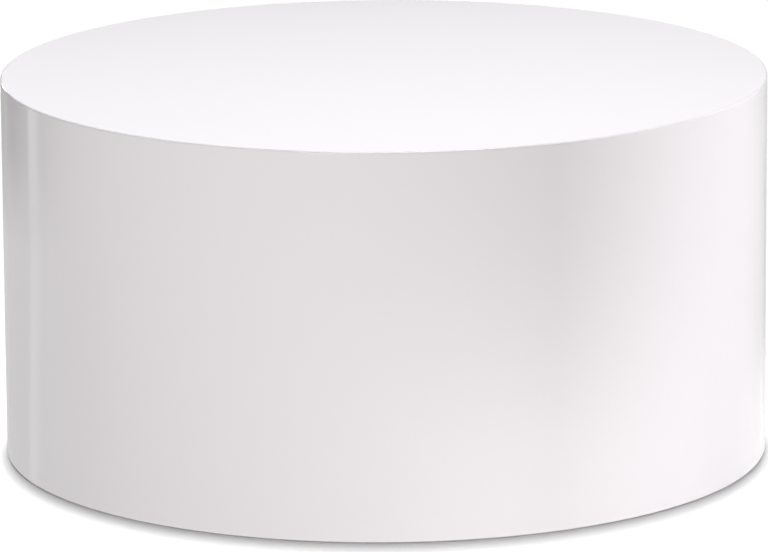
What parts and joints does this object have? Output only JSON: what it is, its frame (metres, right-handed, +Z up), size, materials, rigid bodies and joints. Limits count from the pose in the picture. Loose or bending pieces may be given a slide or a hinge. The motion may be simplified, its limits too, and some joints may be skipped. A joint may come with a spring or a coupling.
{
  "type": "round coffee table",
  "caption": "Round drum coffee table in white gloss lacquer: flat disc top on a plain cylindrical wall, hollow below, on hidden screw-adjustable levelling feet.",
  "frame": {"origin": "on the floor, under the middle of the round top", "axes": "+Z up along the drum's axis; -Y towards the picture's viewer; +Y to the wall's seam"},
  "size_m": [0.8, 0.8, 0.4],
  "materials": {
    "white_lacquer": "white high-gloss lacquer, polished, over fibreboard",
    "fibreboard": "raw medium-density fibreboard, machined",
    "birch_plywood": "raw birch plywood, sawn edges",
    "zinc_plated_steel": "bright zinc plating",
    "black_nylon": "moulded black nylon"
  },
  "bodies": {
    "table": {"top_panel": "white_lacquer", "drum_wall": "white_lacquer", "seam_strip": "birch_plywood", "top_ring": "fibreboard", "base_ring": "fibreboard", "rib_1": "birch_plywood", "rib_2": "birch_plywood", "rib_3": "birch_plywood", "rib_4": "birch_plywood", "rib_5": "birch_plywood", "rib_6": "birch_plywood", "rib_7": "birch_plywood", "rib_8": "birch_plywood", "top_screw_1": "zinc_plated_steel", "top_screw_2": "zinc_plated_steel", "top_screw_3": "zinc_plated_steel", "top_screw_4": "zinc_plated_steel", "top_screw_5": "zinc_plated_steel", "top_screw_6": "zinc_plated_steel", "top_screw_7": "zinc_plated_steel", "top_screw_8": "zinc_plated_steel", "foot_insert_1": "zinc_plated_steel", "foot_insert_2": "zinc_plated_steel", "foot_insert_3": "zinc_plated_steel", "foot_insert_4": "zinc_plated_steel"},
    "glide_1": {"foot_glide_1": "black_nylon"},
    "stud_1": {"foot_stud_1": "zinc_plated_steel"},
    "glide_2": {"foot_glide_2": "black_nylon"},
    "stud_2": {"foot_stud_2": "zinc_plated_steel"},
    "glide_3": {"foot_glide_3": "black_nylon"},
    "stud_3": {"foot_stud_3": "zinc_plated_steel"},
    "glide_4": {"foot_glide_4": "black_nylon"},
    "stud_4": {"foot_stud_4": "zinc_plated_steel"}
  },
  "joints": [
    {"name": "foot_1_height", "type": "slide", "parent": "table", "child": "glide_1", "axis": [0, 0, -1], "range_m": [0, 0.01]},
    {"name": "foot_1_turn", "type": "hinge", "parent": "glide_1", "child": "stud_1", "pos_m": [0, 0.3477, 0.012], "axis": [0, 0, -1], "range_deg": [0, 2880]},
    {"name": "foot_2_height", "type": "slide", "parent": "table", "child": "glide_2", "axis": [0, 0, -1], "range_m": [0, 0.01]},
    {"name": "foot_2_turn", "type": "hinge", "parent": "glide_2", "child": "stud_2", "pos_m": [-0.3477, 0, 0.012], "axis": [0, 0, -1], "range_deg": [0, 2880]},
    {"name": "foot_3_height", "type": "slide", "parent": "table", "child": "glide_3", "axis": [0, 0, -1], "range_m": [0, 0.01]},
    {"name": "foot_3_turn", "type": "hinge", "parent": "glide_3", "child": "stud_3", "pos_m": [0, -0.3477, 0.012], "axis": [0, 0, -1], "range_deg": [0, 2880]},
    {"name": "foot_4_height", "type": "slide", "parent": "table", "child": "glide_4", "axis": [0, 0, -1], "range_m": [0, 0.01]},
    {"name": "foot_4_turn", "type": "hinge", "parent": "glide_4", "child": "stud_4", "pos_m": [0.3477, 0, 0.012], "axis": [0, 0, -1], "range_deg": [0, 2880]}
  ],
  "couplings": [
    {"joint": "foot_1_height", "follows": "foot_1_turn", "m_per_rad": 0.00019894},
    {"joint": "foot_2_height", "follows": "foot_2_turn", "m_per_rad": 0.00019894},
    {"joint": "foot_3_height", "follows": "foot_3_turn", "m_per_rad": 0.00019894},
    {"joint": "foot_4_height", "follows": "foot_4_turn", "m_per_rad": 0.00019894}
  ]
}
